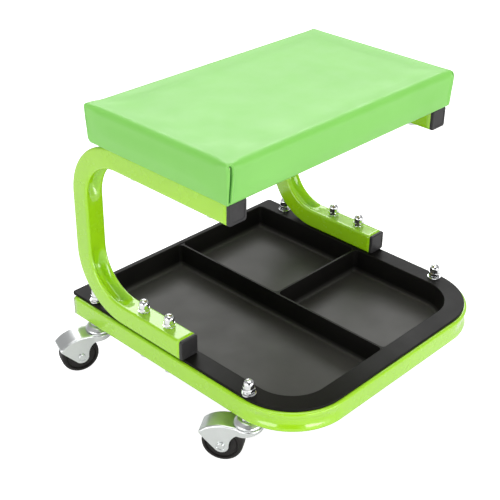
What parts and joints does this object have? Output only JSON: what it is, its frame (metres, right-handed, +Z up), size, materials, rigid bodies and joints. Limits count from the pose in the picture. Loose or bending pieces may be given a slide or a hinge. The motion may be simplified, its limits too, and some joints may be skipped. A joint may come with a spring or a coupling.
{
  "type": "mechanics creeper",
  "caption": "Low rolling mechanic's seat: padded top on two C-shaped tube side frames, divided tool tray on a U-shaped tube base, swivel casters.",
  "frame": {"origin": "on the floor, at the middle of the whole object's width and length at rest", "axes": "+Z up, -Y the closed, rounded front of the base and tray, +X along the seat's length, to the right"},
  "size_m": [0.4526, 0.378, 0.364],
  "materials": {
    "green_paint": "glossy powder coat",
    "green_vinyl": "smooth satin vinyl with a fine grain",
    "foam": "open-cell foam",
    "plywood": "bare plywood",
    "tray_plastic": "moulded, fine texture",
    "cap_plastic": "moulded, satin",
    "zinc_plate": "bright zinc plate",
    "bright_nuts": "bright nickel plate",
    "ball_steel": "polished",
    "wheel_rubber": "hard black rubber, satin"
  },
  "bodies": {
    "chassis": {"base_frame": "green_paint", "side_frame_left": "green_paint", "side_frame_right": "green_paint", "base_cap_left": "cap_plastic", "base_cap_right": "cap_plastic", "leg_cap_left": "cap_plastic", "leg_cap_right": "cap_plastic", "seat_arm_cap_left": "cap_plastic", "seat_arm_cap_right": "cap_plastic", "tool_tray": "tray_plastic", "seat_board": "plywood", "seat_foam": "foam", "seat_cover": "green_vinyl", "seat_t_nuts": "zinc_plate", "seat_bolts": "zinc_plate", "seat_bolt_washers": "zinc_plate", "seat_staples": "bright_nuts", "frame_bolts": "zinc_plate", "frame_bolt_washers": "zinc_plate", "frame_acorn_nuts": "bright_nuts", "frame_lock_washers": "bright_nuts", "caster_acorn_nuts": "bright_nuts", "caster_flat_washers": "bright_nuts", "caster_lock_washers": "bright_nuts", "rear_left_caster_stem": "zinc_plate", "rear_left_caster_cup": "zinc_plate", "rear_left_caster_retainer": "zinc_plate", "rear_right_caster_stem": "zinc_plate", "rear_right_caster_cup": "zinc_plate", "rear_right_caster_retainer": "zinc_plate", "front_left_caster_stem": "zinc_plate", "front_left_caster_cup": "zinc_plate", "front_left_caster_retainer": "zinc_plate", "front_right_caster_stem": "zinc_plate", "front_right_caster_cup": "zinc_plate", "front_right_caster_retainer": "zinc_plate"},
    "rear_left_fork": {"rear_left_caster_fork": "zinc_plate", "rear_left_caster_axle": "zinc_plate", "rear_left_caster_bush": "ball_steel", "rear_left_caster_balls": "ball_steel"},
    "rear_left_wheel": {"rear_left_caster_wheel": "wheel_rubber"},
    "rear_right_fork": {"rear_right_caster_fork": "zinc_plate", "rear_right_caster_axle": "zinc_plate", "rear_right_caster_bush": "ball_steel", "rear_right_caster_balls": "ball_steel"},
    "rear_right_wheel": {"rear_right_caster_wheel": "wheel_rubber"},
    "front_left_fork": {"front_left_caster_fork": "zinc_plate", "front_left_caster_axle": "zinc_plate", "front_left_caster_bush": "ball_steel", "front_left_caster_balls": "ball_steel"},
    "front_left_wheel": {"front_left_caster_wheel": "wheel_rubber"},
    "front_right_fork": {"front_right_caster_fork": "zinc_plate", "front_right_caster_axle": "zinc_plate", "front_right_caster_bush": "ball_steel", "front_right_caster_balls": "ball_steel"},
    "front_right_wheel": {"front_right_caster_wheel": "wheel_rubber"}
  },
  "joints": [
    {"name": "rear_left_swivel", "type": "hinge", "parent": "chassis", "child": "rear_left_fork", "pos_m": [-0.1713, 0.1505, 0.0515], "axis": [0, 0, 1], "continuous": true},
    {"name": "rear_left_wheel_spin", "type": "hinge", "parent": "rear_left_fork", "child": "rear_left_wheel", "pos_m": [-0.19761, 0.16008, 0.024], "axis": [-0.342, -0.9397, 0], "continuous": true},
    {"name": "rear_right_swivel", "type": "hinge", "parent": "chassis", "child": "rear_right_fork", "pos_m": [0.1713, 0.1505, 0.0515], "axis": [0, 0, 1], "continuous": true},
    {"name": "rear_right_wheel_spin", "type": "hinge", "parent": "rear_right_fork", "child": "rear_right_wheel", "pos_m": [0.19761, 0.16008, 0.024], "axis": [-0.342, 0.9397, 0], "continuous": true},
    {"name": "front_left_swivel", "type": "hinge", "parent": "chassis", "child": "front_left_fork", "pos_m": [-0.1713, -0.11, 0.0515], "axis": [0, 0, 1], "continuous": true},
    {"name": "front_left_wheel_spin", "type": "hinge", "parent": "front_left_fork", "child": "front_left_wheel", "pos_m": [-0.18572, -0.086, 0.024], "axis": [-0.8572, -0.515, 0], "continuous": true},
    {"name": "front_right_swivel", "type": "hinge", "parent": "chassis", "child": "front_right_fork", "pos_m": [0.1713, -0.11, 0.0515], "axis": [0, 0, 1], "continuous": true},
    {"name": "front_right_wheel_spin", "type": "hinge", "parent": "front_right_fork", "child": "front_right_wheel", "pos_m": [0.18572, -0.086, 0.024], "axis": [-0.8572, 0.515, 0], "continuous": true}
  ]
}
